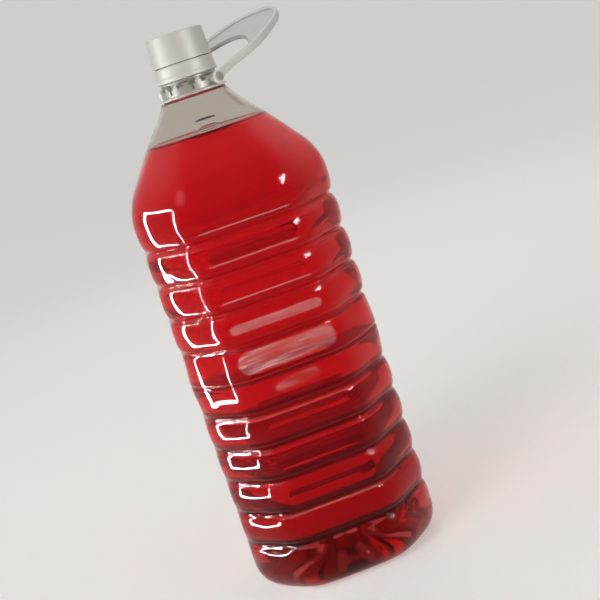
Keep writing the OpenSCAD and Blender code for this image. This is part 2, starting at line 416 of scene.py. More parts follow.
@dataclass(frozen=True)
class BlownPlastic(Finish):
    """Clear blown plastic with painted shade in the grooves, a dry part above the liquid, and streaked painted
    highlights on the front.
    """

    dry_colour: Colour
    level_mm: float
    groove_mm: float
    pitch_mm: float
    fine_mm: float
    gloss: float = 0.16
    ior: float = 1.5
    ribs_foot_mm: float = 28.0
    ribs_top_mm: float = 249.0
    line_shade: float = 0.55
    base_shade: float = 0.24
    highlight_colour: Colour = (0.80, 0.55, 0.53)

    def marks(self, bands: tuple[Band, ...], streaks: Flow) -> Flow:
        """Adds up bands on the front face. A band is where its middle line is nearer than half its height.

        Args:
            bands: The bands.
            streaks: What a streaked share is multiplied by.

        Returns:
            The sum of their shares.
        """
        x, y, z = (self.node("ShaderNodeSeparateXYZ", None, {0: self.place()}, axis) for axis in "XYZ")
        side = self.node("ShaderNodeMath", {"operation": "ABSOLUTE"}, {0: x})
        total = 0.0
        for band in bands:
            past = side.maths("MAXIMUM", side - band.half_l * MM, 0.0)
            up = z - band.centre * MM
            away = (past * past + up * up) ** 0.5
            inside = 1.0 - away.between((band.half_h - band.soft) * MM, (band.half_h + band.soft) * MM)
            total = total + inside * (streaks * band.streaked + band.plain)
        return total * (1.0 - y.between(-0.03, -0.02))

    def groove_shade(self, z: Flow) -> Flow:
        """Painted shade in the grooves, from the distance to the nearest multiple of the pitch.

        Args:
            z: Height above the base, in metres.

        Returns:
            The painted shade's share, most in the middle of each groove and on the fine line.
        """
        phase = (z - (self.groove_mm + 2.5) * MM) / (self.pitch_mm * MM)
        gap = self.node("ShaderNodeMath", {"operation": "PINGPONG"}, {0: phase, 1: 0.5})
        ribbed = z.stretch((self.ribs_foot_mm, 2.0), (self.ribs_top_mm, 3.0))
        fine = z.stretch((self.fine_mm - 8.5, 0.5), (self.fine_mm + 8.5, 0.5))
        line = z.stretch((self.fine_mm - 1.0, 0.4), (self.fine_mm + 1.0, 0.4))
        # Painted shade: the grooves and the fine line are darkened in the glass colour, in place of the dark that
        # refraction gives
        deep = (1.0 - gap.between(0.09, 0.20)) * (1.0 - fine) * ribbed
        return deep * (0.62 - 0.5 * z.between(0.120, 0.185)) + line * 0.6

    def streak_pattern(self) -> Flow:
        """Fine streaks along the ribs, for the painted highlights and some painted shade: noise that is drawn out
        sideways.

        Returns:
            The streaks' strength, from 0 to 1.
        """
        place = self.place()
        drawn = self.node("ShaderNodeMapping", None, {"Vector": place, "Scale": (45.0, 45.0, 1500.0)})
        wide = self.node("ShaderNodeMapping", None, {"Vector": place, "Scale": (30.0, 30.0, 260.0)})
        fine, broad = (
            self.node("ShaderNodeTexNoise", None, {"Vector": way, "Scale": 1.0, "Detail": 4.0}) for way in (drawn, wide)
        )
        return fine.between(0.36, 0.7) * broad.between(0.3, 0.62)

    def paint(self) -> None:
        """Glass tinted by height and darkened by painted shade, clear to the rays that look for a lamp, under a share
        of streaked painted highlights.
        """
        z = self.height()
        level = self.level_mm
        dry = z.between((level - 0.3) * MM, (level + 0.3) * MM)
        water_line = z.stretch((level - 0.9, 0.3), (level + 0.3, 0.3))
        streaks = self.streak_pattern()
        # Painted shade, mixed to black in the glass colour: the grooves, a dark line at the liquid's level, and
        # darkening towards the base
        shade = self.groove_shade(z) + water_line * self.line_shade + (1.0 - z.between(0.03, 0.12)) * self.base_shade
        shade = shade + self.marks(SHADES, streaks)
        tone = self.mix_colour(dry, self.colour, self.dry_colour)
        shell = self.node("ShaderNodeBsdfPrincipled", None, {
            "Base Color": self.mix_colour(shade, tone, (0.0, 0.0, 0.0)),
            "Roughness": self.noise(9.0) * 0.01 + 0.004,
            "IOR": self.ior,
            "Transmission Weight": 1.0,
            "Specular Tint": (self.gloss,) * 3,
            "Normal": self.bumps(self.noise(16.0, 1.0), 0.05),
        })
        lamp_ray = self.node("ShaderNodeLightPath", output="Is Shadow Ray")
        open_air = self.node("ShaderNodeBsdfTransparent", None, {"Color": (0.9, 0.9, 0.88)})
        clear = self.node("ShaderNodeMixShader", None, {0: lamp_ray, 1: shell, 2: open_air})
        # Painted highlight: a pale rough layer mixed over the glass where the highlight bands lie
        painted_highlight = self.node("ShaderNodeBsdfPrincipled", None, {"Base Color": self.highlight_colour, "Roughness": 0.55})
        self.finish_with(self.node("ShaderNodeMixShader", None, {0: self.marks(PAINTED_HIGHLIGHTS, streaks), 1: clear, 2: painted_highlight}))


@dataclass(frozen=True)
class Drink(Finish):
    """Clear coloured liquid: it takes light off by the depth that the light passes through."""

    depth_colour: Colour
    density: float
    haze: float = 0.17
    haze_colour: Colour = (0.62, 0.004, 0.014)

    def paint(self) -> None:
        """Water-like refraction with an even absorption inside, under a share of haze that evens out the red."""
        tone = self.mix_colour(self.noise(60.0), self.colour, tuple(0.97 * c for c in self.colour))
        surface = self.node("ShaderNodeBsdfPrincipled", None, {
            "Base Color": tone,
            "Roughness": 0.0,
            "IOR": 1.333,
            "Transmission Weight": 1.0,
            "Specular Tint": (0.0, 0.0, 0.0),
        })
        inside = self.node("ShaderNodeVolumeAbsorption", None, {"Color": self.depth_colour, "Density": self.density})
        cloud = self.node("ShaderNodeBsdfPrincipled", None, {
            "Base Color": self.haze_colour, "Roughness": 0.6, "Specular IOR Level": 0.0,
        })
        share = self.height().between(0.03, 0.06) * self.haze
        self.finish_with(self.node("ShaderNodeMixShader", None, {0: share, 1: surface, 2: cloud}), inside)


@dataclass(frozen=True)
class MouldedPlastic(Finish):
    """Opaque or faintly clear moulded plastic, with a fine grain and slight flow marks."""

    shade: Colour
    roughness: float = 0.38
    grain_mm: float = 0.9
    relief_mm: float = 0.012
    clearness: float = 0.0

    def paint(self) -> None:
        """Colour drifts in broad clouds, and roughness and relief follow a fine grain."""
        clouds = self.noise(14.0, 3.0)
        grain = self.noise(self.grain_mm, 2.0)
        surface = self.node("ShaderNodeBsdfPrincipled", None, {
            "Base Color": self.mix_colour(clouds, self.colour, self.shade),
            "Roughness": grain * 0.12 + (self.roughness - 0.06),
            "Specular IOR Level": 0.25,
            "Subsurface Weight": 0.12,
            "Subsurface Radius": (0.004, 0.0035, 0.003),
            "Subsurface Scale": 1.0,
            "Normal": self.bumps(grain, self.relief_mm),
        })
        if self.clearness > 0.0:
            rim = self.node("ShaderNodeLayerWeight", None, {"Blend": 0.35}, "Facing")
            clear = self.node("ShaderNodeBsdfTransparent", None, {"Color": (0.93, 0.92, 0.90)})
            share = (1.0 - rim) * self.clearness
            surface = self.node("ShaderNodeMixShader", None, {0: share, 1: surface, 2: clear})
        self.finish_with(surface)


@dataclass(frozen=True)
class Foam(Finish):
    """Matt foamed sealing disc with fine cells."""

    def paint(self) -> None:
        """Fine cells in the relief and in the tone."""
        cells = self.node(
            "ShaderNodeTexVoronoi", None, {"Vector": self.place(), "Scale": 1000.0 / 0.8}, "Distance"
        )
        dark = tuple(0.9 * c for c in self.colour)
        self.finish_with(self.node("ShaderNodeBsdfPrincipled", None, {
            "Base Color": self.mix_colour(cells, dark, self.colour),
            "Roughness": cells * 0.1 + 0.75,
            "Normal": self.bumps(cells, 0.03),
        }))


@dataclass(frozen=True)
class Ground(Finish):
    """Plain pale floor and backdrop."""

    def paint(self) -> None:
        """A matt, even tone with a faint drift, a little paler to the eye, to gloss and through clear pieces."""
        dim = tuple(0.985 * c for c in self.colour)
        tone = self.mix_colour(self.noise(900.0), self.colour, dim)
        eye, gloss, through = (
            self.node("ShaderNodeLightPath", output=f"Is {ray} Ray") for ray in ("Camera", "Glossy", "Transmission")
        )
        glow = self.mix_colour((eye + gloss + through) * 0.34, (0.0, 0.0, 0.0), tone)
        self.finish_with(self.node("ShaderNodeBsdfPrincipled", None, {
            "Base Color": tone, "Roughness": 1.0, "Specular IOR Level": 0.0, "Emission Color": glow,
            "Emission Strength": 1.0,
        }))


@dataclass(frozen=True)
class Surround(Finish):
    """Pale surround: near white to the eye, to gloss and through clear pieces, and softer as a light."""

    seen: float
    cast: float

    @property
    def tree(self) -> bpy.types.NodeTree:
        """The world's node tree."""
        return bpy.data.worlds[self.name].node_tree

    def light(self) -> None:
        """Makes the world and paints it."""
        world = bpy.data.worlds.new(self.name)
        bpy.context.scene.world = world
        world.use_nodes = True
        world.node_tree.nodes.clear()
        self.paint()

    def paint(self) -> None:
        """One even background for the rays that light matt surfaces, and a brighter one for all other rays."""
        seen, cast = (
            self.node("ShaderNodeBackground", None, {"Color": self.colour, "Strength": glow})
            for glow in (self.seen, self.cast)
        )
        matt = self.node("ShaderNodeLightPath", output="Is Diffuse Ray")
        mixed = self.node("ShaderNodeMixShader", None, {0: matt, 1: seen, 2: cast})
        self.finish_with(mixed, kind="ShaderNodeOutputWorld")


LEVEL_MM = 305.6
BLOWN = BlownPlastic("blown_plastic", (0.955, 0.945, 0.94), (0.66, 0.635, 0.59), LEVEL_MM, 35.6, 23.2, 151.6)
BLOWN_INSIDE = replace(BLOWN, name="blown_plastic_inside", gloss=0.0)
DRINK = Drink("red_drink", (1.0, 0.97, 0.97), (0.885, 0.035, 0.09), 52.0)
WHITE = MouldedPlastic("white_satin_plastic", (0.76, 0.745, 0.70), (0.73, 0.715, 0.67), 0.48)
NATURAL = MouldedPlastic("natural_plastic", (0.59, 0.56, 0.505), (0.55, 0.52, 0.465), 0.34, clearness=0.2)
RING = MouldedPlastic("natural_plastic_ring", (0.52, 0.495, 0.45), (0.48, 0.455, 0.41), 0.34, clearness=0.15)
WEB = MouldedPlastic("natural_plastic_web", (0.44, 0.43, 0.405), (0.40, 0.39, 0.365), 0.36, clearness=0.22)
NECK = MouldedPlastic("thick_clear_plastic", (0.74, 0.73, 0.69), (0.70, 0.69, 0.65), 0.2, clearness=0.55)
FOAM = Foam("liner_foam_cells", (0.80, 0.80, 0.78))


def dress(obj: bpy.types.Object, finish: Finish, body: Body, slot: Slot, *nodes: str) -> bpy.types.Object:
    """Gives a new piece its finish and its body.

    Args:
        obj: The piece.
        finish: What its surface looks like.
        body: The body that it rides on.
        slot: The record's material slot; not used.
        *nodes: The CAD nodes that it stands for.

    Returns:
        The same piece.
    """
    obj.data.materials.clear()
    obj.data.materials.append(finish.material)
    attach(obj, body.value)
    if nodes:
        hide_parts(*nodes)
    log.info("%s: %d faces, rides on %s", obj.name, len(obj.data.polygons), body.value)
    return obj


def repaint(node: str, finish: Finish) -> None:
    """Gives a CAD node that stays its finish.

    Args:
        node: The node's name in the frame.
        finish: What its surface looks like.
    """
    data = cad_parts[node].data
    data.materials.clear()
    data.materials.append(finish.material)
    log.info("%s: CAD node, %s", node, finish.name)


@dataclass
class BlownBody:
    """The ribbed body of the bottle, its base and its shoulder, and the liquid that fills it."""

    face_reach: float = 65.5
    chamfer_reach: float = 70.36
    body_h: float = 259.0
    flange_z: float = 330.2
    turn_h: float = 23.0
    turn_in: float = 7.0
    turn_power: float = 2.1
    plane_top_r: float = 22.6
    shoulder_top_r: float = 21.4
    flare_h: float = 12.6
    flare_r: float = 31.1
    heel_h: float = 17.0
    heel_in: float = 13.0
    pushup_r: float = 38.0
    pushup_h: float = 11.0
    channels: int = 8
    channel_r: float = 4.2
    channel_reach: float = 43.0
    wall: float = 0.7
    bond: float = 0.1
    top_groove_z: float = 244.4
    pitch: float = 23.2
    grooves: int = 10
    fine: int = 4
    columns: int = 208
    crown: float = 2.2
    valley: float = 1.1
    valley_half: float = 3.2
    pillow: float = 0.9
    dent: float = 0.8
    deep: np.ndarray = field(init=False)

    def __post_init__(self) -> None:
        """Works out the heights of the deep grooves, from the lowest."""
        heights = self.top_groove_z - self.pitch * np.arange(self.grooves)
        self.deep = np.sort(np.delete(heights, self.fine))

    def heel_dip(self, z: np.ndarray) -> np.ndarray:
        """How far the heel draws in: a quarter of an ellipse over the heel's height."""
        share = np.clip((self.heel_h - z) / self.heel_h, 0.0, 1.0)
        return self.heel_in * (1.0 - np.sqrt(1.0 - share**2))

    def shoulder_dip(self, z: np.ndarray, reach: float) -> np.ndarray:
        """How far a wall has turned in: a power curve, and then a straight slope up to plane_top_r.

        Args:
            z: Heights in millimetres.
            reach: The wall's distance from the axis, below the shoulder.

        Returns:
            Millimetres towards the axis.
        """
        h = np.clip(z - self.body_h, 0.0, self.turn_h) / self.turn_h
        slope = (reach - self.turn_in - self.plane_top_r) / (self.flange_z - self.body_h - self.turn_h)
        return self.turn_in * h**self.turn_power + slope * np.clip(z - self.body_h - self.turn_h, 0.0, None)

    def lobe(self, z: np.ndarray) -> tuple[np.ndarray, np.ndarray]:
        """Where a height lies in its rib.

        Args:
            z: Heights in millimetres.

        Returns:
            The square of the share of the way from the rib's middle to its edge, and the rib's crown in millimetres.
        """
        edges = np.concatenate([[self.heel_h], self.deep, [self.body_h + 8.0]])
        low = np.clip(np.searchsorted(edges, z, "right") - 1, 0, len(edges) - 2)
        s = np.clip((z - edges[low]) / (edges[low + 1] - edges[low]), 0.0, 1.0) * 2.0 - 1.0
        crown = np.where(np.diff(edges) > 1.5 * self.pitch, 0.9 * self.crown, self.crown)
        free = ((low == len(edges) - 2) & (s > 0)) | ((low == 0) & (s < 0))
        return np.where(free | (z < self.heel_h) | (z > self.body_h + 8.0), 0.0, s**2), crown[low]

    def groove_dip(self, z: np.ndarray) -> np.ndarray:
        """Ribs between the deep grooves.

        Between two grooves the wall is a parabola that stands crown proud in its middle, and each groove adds a narrow
        valley, (1 + cos) / 2 over its half height. A rib over the fine line is flatter.

        Args:
            z: Heights in millimetres.

        Returns:
            How far the wall lies inside the ribs' crests, in millimetres.
        """
        square, crown = self.lobe(z)
        gap = np.abs(z[..., None] - self.deep) / self.valley_half
        valleys = self.valley * ((1.0 + np.cos(np.pi * np.clip(gap, 0.0, 1.0))) / 2.0).sum(-1)
        line_z = self.top_groove_z - self.pitch * self.fine
        line = 0.9 * (1.0 + np.cos(np.pi * np.clip(np.abs(z - line_z) / 1.8, 0.0, 1.0))) / 2.0
        return crown * square + valleys + line

    def edge_reach(self, z: np.ndarray) -> np.ndarray:
        """Radius of the round form that trims the shoulder and makes the flare at the neck."""
        heights = [self.body_h, self.body_h + 24.5, self.flange_z - self.flare_h, self.flange_z - 5.5, self.flange_z]
        return np.interp(z, heights, [86.0, 66.6, self.flare_r, self.shoulder_top_r + 3.6, self.shoulder_top_r])

    def face_panel(self, u: np.ndarray, z: np.ndarray) -> np.ndarray:
        """Sunk bands with round ends along a flat face, one in the middle of each rib.

        A band is sunk where its distance to the segment |u| < half length is under half its height.

        Args:
            u: Distance from the face's middle line, in millimetres.
            z: Heights in millimetres.

        Returns:
            Millimetres that the face is sunk by.
        """
        dip = 0.0 * (u + z)
        centres = self.top_groove_z - self.pitch * (np.arange(self.grooves - 1) + 0.5)
        for rank, centre in enumerate(centres):
            plain = (3.3, 25.5, 0.55 if rank < self.fine else 0.28)
            half_h, half_l, depth = (5.4, 23.5, 0.5) if rank == self.fine - 1 else plain
            away = np.hypot(np.clip(np.abs(u) - half_l, 0.0, None), z - centre)
            dip = dip + depth * smooth_step((half_h + 0.9 - away) / 1.8)
        return dip

    def shoulder_pad(self, u: np.ndarray, z: np.ndarray) -> np.ndarray:
        """The small raised pad on the front of the shoulder: a steep step up inside a rectangle."""
        inside = np.maximum(np.abs(u) / 6.2, np.abs(z - (self.flange_z - 19.4)) / 3.6)
        return 0.9 * smooth_step((1.06 - inside) / 0.12)

    def chamfer_shape(self, u: np.ndarray, z: np.ndarray) -> np.ndarray:
        """A crowned chamfer: 0.7 - 2 (u / 22)^2, with ribs that stand out more in their middle, as a pillow does."""
        square = self.lobe(z)[0]
        return 0.7 - 2.0 * np.clip(np.abs(u) / 22.0, 0.0, 1.0) ** 2 - self.pillow * square * np.exp(-((u / 8.0) ** 2))

    def corner_dent(self, u: np.ndarray, z: np.ndarray) -> np.ndarray:
        """Two shallow dents from handling on the front left corner, each a bell-shaped dip.

        Args:
            u: Distance from the corner's middle line, in millimetres.
            z: Heights in millimetres.

        Returns:
            Millimetres that the corner is dented by.
        """
        first = np.exp(-(((u - 5.0) / 4.5) ** 2) - ((z - 210.0) / 5.0) ** 2)
        second = np.exp(-(((u + 7.0) / 3.5) ** 2) - ((z - 227.0) / 3.0) ** 2)
        return self.dent * first + 0.5 * self.dent * second

    def radius(self, angle: np.ndarray, z: np.ndarray, inset: float) -> np.ndarray:
        """Radius of the wall at each angle and height.

        Each of the eight walls is a plane at its reach. The radius r is where the sum over the walls, and over the
        round form of the shoulder, of (cos(angle to the wall) / reach)^p comes to 1 / r^p, which rounds the edges.

        Args:
            angle: Row of angles, in radians.
            z: Column of heights, in millimetres.
            inset: How far the surface lies inside the outer one.

        Returns:
            Rows x columns of radii in millimetres.
        """
        power = np.interp(z, [0.0, 17.0, 40.0, 255.0, 300.0, 330.0], [14.0, 22.0, 34.0, 34.0, 26.0, 20.0])
        total = 0.0
        dips = self.heel_dip(z) + self.groove_dip(z)
        for k in range(8):
            turn = np.angle(np.exp(1j * (angle - k * TURN / 8)))
            plain = self.chamfer_reach if k % 2 else self.face_reach
            wall = plain - inset - dips - self.shoulder_dip(z, plain)
            u = wall * np.tan(np.clip(turn, -1.2, 1.2))
            if k % 2:
                shape = self.chamfer_shape(u, z)
            else:
                shape = -0.5 * np.clip(np.abs(u) / 34.0, 0.0, 1.0) ** 2 - self.face_panel(u, z)
            if k == 5:
                shape = shape - self.corner_dent(u, z)
            reach = wall + shape * np.interp(z, [6.0, 24.0, self.body_h, self.body_h + 26.0], [0.0, 1.0, 1.0, 0.0])
            if k == 6 and inset == 0.0:
                reach = reach + self.shoulder_pad(u, z)
            total = total + (np.clip(np.cos(turn), 1e-6, None) / reach) ** power
        total = total + (1.0 / (self.edge_reach(z) - inset)) ** power
        return total ** (-1.0 / power)

    def base_height(self, angle: np.ndarray, r: np.ndarray) -> np.ndarray:
        """Height of the underside: a push-up dome with channels that fan out to the standing ring.

        The dome is pushup_h (1 - (r / pushup_r)^2) squared at its rim, and a channel is a half-round dip whose height
        falls off away from its line and towards its end.

        Args:
            angle: Row of angles, in radians.
            r: Radii in millimetres.

        Returns:
            Heights in millimetres.
        """
        dome = self.pushup_h * np.clip(1.0 - (r / self.pushup_r) ** 2, 0.0, 1.0) ** 1.15
        phase = (angle / TURN * self.channels - 0.5) % 1.0
        away = np.abs(phase - np.round(phase)) * TURN / self.channels * r
        reach = smooth_step((self.channel_reach + 3.0 - r) / 9.0)
        channel = 2.9 * np.exp(-((away / (0.75 * self.channel_r)) ** 2)) * reach * smooth_step((r - 6.0) / 14.0)
        return dome + channel

    def angles(self) -> np.ndarray:
        """Angles of the columns, closer together at the upright edges: a + k sin(8 a) / 8."""
        a = np.arange(self.columns) * TURN / self.columns
        return (a + 0.45 * np.sin(8.0 * a) / 8.0)[None, :]

    def heights(self, top: float, step: float) -> np.ndarray:
        """Heights of the rows above the base: close at the grooves, wider between them.

        Args:
            top: Height of the last row, in millimetres.
            step: Spacing of the rows where nothing draws them closer.

        Returns:
            A column of heights in millimetres.
        """
        z = np.linspace(0.0, top, 2400)
        near = np.abs(z[:, None] - self.deep).min(1)
        line_z = self.top_groove_z - self.pitch * self.fine
        weight = 1.0 + 1.3 * np.exp(-((near / 4.0) ** 2)) + 2.5 * np.exp(-(((z - line_z) / 2.5) ** 2))
        weight = weight + 3.0 * np.exp(-z / 3.0) - 0.5 * smooth_step((z - self.body_h - 20.0) / 20.0)
        weight = weight + 2.5 * np.exp(-(((np.abs(z - self.flange_z + 19.7) - 3.2) / 1.4) ** 2))
        run = np.concatenate([[0.0], np.cumsum((weight[1:] + weight[:-1]) / 2 * np.diff(z))])
        count = int(run[-1] / step)
        return np.interp(np.linspace(0.0, run[-1], count), run, z)[:, None]

    def skin(self, inset: float, top: float, step: float) -> np.ndarray:
        """One surface of the blown wall, from the pole of the base out to the standing ring and up to the top.

        Args:
            inset: How far it lies inside the outer surface.
            top: Height of its last row, in millimetres.
            step: Spacing of the rows.

        Returns:
            Rows x columns x 3, in millimetres.
        """
        angle = self.angles()
        z = inset + self.heights(top, step) * (top - inset) / top
        side_r = self.radius(angle, z, inset)
        share = np.linspace(0.02, 0.995, 26)[:, None] ** 0.85
        base_r = share * side_r[:1]
        base_z = inset + self.base_height(angle, base_r)
        r = np.vstack([base_r, side_r])
        height = np.vstack([base_z, z + 0.0 * angle])
        return round_axis(r, angle, height)

    def shell(self) -> bpy.types.Object:
        """The blown wall: the outer surface up, and the inner surface down.

        Returns:
            The mesh object.
        """
        outer = self.skin(0.0, self.flange_z + 0.8, 1.75)
        inner = self.skin(self.wall, self.flange_z + 0.8, 2.3)
        return grid_mesh("blown_shell", np.vstack([outer, inner[::-1]]) * MM, End.POLE)

    def face_inwards(self, shell: bpy.types.Object) -> None:
        """Gives the inner surface its own finish: the faces whose normals lean towards the axis or up from the base.

        Args:
            shell: The blown wall.
        """
        mesh = shell.data
        normal, middle = np.empty(3 * len(mesh.polygons)), np.empty(3 * len(mesh.polygons))
        mesh.polygons.foreach_get("normal", normal)
        mesh.polygons.foreach_get("center", middle)
        normal, middle = normal.reshape(-1, 3), middle.reshape(-1, 3)
        outwards = (normal[:, :2] * middle[:, :2]).sum(1) / np.hypot(middle[:, 0], middle[:, 1])
        inside = np.where(middle[:, 2] > 0.014, outwards < 0, normal[:, 2] > 0)
        mesh.materials.append(BLOWN_INSIDE.material)
        mesh.polygons.foreach_set("material_index", inside.astype(np.int32))

    def liquid(self) -> bpy.types.Object:
        """The liquid: the inside of the wall up to the level, and a flat surface that climbs the wall by a meniscus.

        The surface's height is level + climb exp(-distance to the wall / reach). The side reaches into the wall by the
        bond, so that no film of air lies between the two.

        Returns:
            The mesh object.
        """
        inset = self.wall - self.bond
        side = self.skin(inset, LEVEL_MM + 0.4, 2.1)
        rim = side[-1]
        share = np.concatenate([1.0 - np.linspace(0.0, 0.14, 9)[1:], np.linspace(0.8, 0.02, 9)])[:, None, None]
        top = rim[None] * share
        away = np.linalg.norm((rim[None] - top)[..., :2], axis=-1)
        top[..., 2] = LEVEL_MM - 0.1 + 0.5 * np.exp(-away / 1.2)
        return grid_mesh("liquid_body", np.vstack([side, top]) * MM, End.POLE, 50.0)

    def build(self) -> None:
        """Makes and dresses both pieces."""
        shell = dress(self.shell(), BLOWN, Body.BOTTLE, Slot.CLEAR, "bottle")
        self.face_inwards(shell)
        dress(self.liquid(), DRINK, Body.BOTTLE, Slot.LIQUID, "liquid")


@dataclass
class NeckFinish:
    """The moulded neck: flange, ratchet teeth, stop bead and thread."""

    flange_z: float = 330.2
    flange_h: float = 1.6
    flange_r: float = 22.9
    neck_r: float = 16.4
    bore_r: float = 14.2
    bead_z: float = 339.6
    bead_h: float = 1.8
    bead_r: float = 18.6
    top_z: float = 367.4
    teeth: int = 12
    lead: float = 4.2

    def neck(self) -> bpy.types.Object:
        """The neck as one turned profile.

        Returns:
            The mesh object.
        """
        foot, top = self.flange_z, self.top_z
        over, under = self.bead_z + self.bead_h, self.bead_z
        profile = rounded_profile([
            (self.bore_r, foot - 3.4, 0.2), (self.bore_r + 1.2, foot - 3.4, 0.3), (self.bore_r + 4.6, foot, 0.6),
            (self.flange_r, foot, 0.5), (self.flange_r, foot + self.flange_h, 0.6),
            (self.neck_r, foot + self.flange_h, 0.5), (self.neck_r, under, 0.3), (self.bead_r, under, 0.4),
            (self.bead_r, over, 0.8), (self.neck_r, over, 0.4), (self.neck_r, top, 0.6), (self.bore_r, top, 0.6),
        ])
        return lathe("neck_finish", profile, 128, End.RING)

    def tooth_ring(self) -> bpy.types.Object:
        """Ratchet teeth under the bead: a ring whose radius rises by smooth steps at each tooth.

        Returns:
            The mesh object.
        """
        angle = np.arange(384) * TURN / 384
        phase = (angle * self.teeth / TURN + 0.5) % 1.0 - 0.5
        rise = smooth_step((0.2 - np.abs(phase)) / 0.06)
        low, high = self.bead_z - 1.1, self.bead_z + 0.4
        outer = self.neck_r - 0.4 + (self.bead_r - 0.5 - self.neck_r + 0.4) * rise
        foot = np.full_like(outer, self.neck_r - 0.8)
        rows = [(foot, low), (outer - 0.15 * rise, low), (outer, low + 0.15), (outer, high), (foot, high)]
        points = np.stack([round_axis(r, angle, z) for r, z in rows])
        return grid_mesh("ratchet_teeth", points * MM, End.RING, 30.0)

    def helix(self, name: str, base_r: float, crest: float, low: float, high: float, turn: float) -> bpy.types.Object:
        """A thread ridge on a helix: height is low + lead times turns, and the crest fades in and out at its ends.

        Args:
            name: The object's name.
            base_r: Radius of the surface that the ridge stands on.
            crest: How far it stands out; below zero it stands inwards.
            low: Height of its lower end.
            high: Height of its upper end.
            turn: Angle of its lower end.

        Returns:
            The mesh object.
        """
        t = np.linspace(0.0, (high - low) / self.lead, int(72 * (high - low) / self.lead))
        angle = turn + TURN * t
        z = low + self.lead * t
        fade = smooth_step(np.minimum(t, t[-1] - t) / 0.09)[:, None]
        sign = np.sign(crest)
        # Section corners: sunk foot, flanks and a flat crest, in the order that keeps the faces outwards
        out = np.array([-0.3, 0.05, 0.9, 1.0, 1.0, 0.9, 0.05, -0.3]) * abs(crest) * sign
        rise = np.array([0.9, 0.85, 0.45, 0.3, -0.3, -0.45, -0.85, -0.9]) * sign
        r = base_r + np.where(out * sign > 0, out * fade, out + 0.0 * fade)
        height = z[:, None] + rise * (0.35 + 0.65 * fade)
        return grid_mesh(name, round_axis(r, angle[:, None], height)[:, ::-1] * MM, End.POLE, 30.0)

    def build(self) -> None:
        """Makes and dresses the neck, its teeth, and the threads of neck and cap."""
        dress(self.neck(), NECK, Body.BOTTLE, Slot.CLEAR)
        dress(self.tooth_ring(), NECK, Body.BOTTLE, Slot.CLEAR)
        dress(self.helix("neck_thread", self.neck_r, 0.85, 353.2, 363.6, 0.4), NECK, Body.BOTTLE, Slot.CLEAR)
        dress(self.helix("cap_thread", 17.6, -0.8, 354.6, 364.6, 0.4 + np.pi), WHITE, Body.CAP, Slot.WHITE)


@dataclass
class Closure:
    """The tamper band with its broken bridges. The cap and the liner keep their CAD solids."""

    band_z: float = 341.4
    band_h: float = 9.8
    foot_r: float = 20.2
    top_r: float = 19.75
    lip_r: float = 17.1
    bore_r: float = 18.45
    bridges: int = 12

    def band(self) -> bpy.types.Object:
        """The band as one turned profile, with a rolled foot and a shallow waist under its top edge.

        Returns:
            The mesh object.
        """
        foot, top = self.band_z, self.band_z + self.band_h
        profile = rounded_profile([
            (self.lip_r, foot, 0.3), (self.foot_r - 0.05, foot, 0.6), (self.foot_r - 0.02, foot + 2.2, 0.8),
            (self.foot_r - 0.3, foot + 3.2, 0.8), (self.top_r - 0.02, top - 1.6, 1.2), (self.top_r - 0.2, top, 0.4),
            (self.bore_r, top, 0.3), (self.bore_r, foot + 2.2, 0.4), (self.lip_r, foot + 1.2, 0.4),
        ])
        return lathe("tamper_ring", profile, 144, End.RING)

    def bridge_stubs(self) -> list[bpy.types.Object]:
        """Short stubs in the seam where the band was joined to the cap: small rounded posts.

        Returns:
            The mesh objects, in order round the band.
        """
        made = []
        for k in range(self.bridges):
            angle = (k + 0.3) * TURN / self.bridges
            t = np.linspace(0.0, 1.0, 5)
            radial = np.array([np.cos(angle), np.sin(angle), 0.0])
            along = np.array([-np.sin(angle), np.cos(angle), 0.0])
            z = self.band_z + self.band_h - 0.25 + 0.55 * t
            path = radial * (self.top_r - 0.65) + np.array([0.0, 0.0, 1.0]) * z[:, None]
            size = (1.0 - 0.35 * t**2)[:, None, None] * superellipse(0.32, 0.55, 3.0, 10)
            made.append(sweep(
                f"bridge_stub_{k + 1}", path * MM, np.tile(radial, (5, 1)), np.tile(along, (5, 1)), size * MM
            ))
        return made

    def build(self) -> None:
        """Makes and dresses the band, and gives the CAD cap and liner their finishes."""
        dress(self.band(), WHITE, Body.BOTTLE, Slot.WHITE, "tamper_band")
        for stub in self.bridge_stubs():
            dress(stub, WHITE, Body.BOTTLE, Slot.WHITE)
        repaint("screw_cap", WHITE)
        repaint("cap_liner", FOAM)


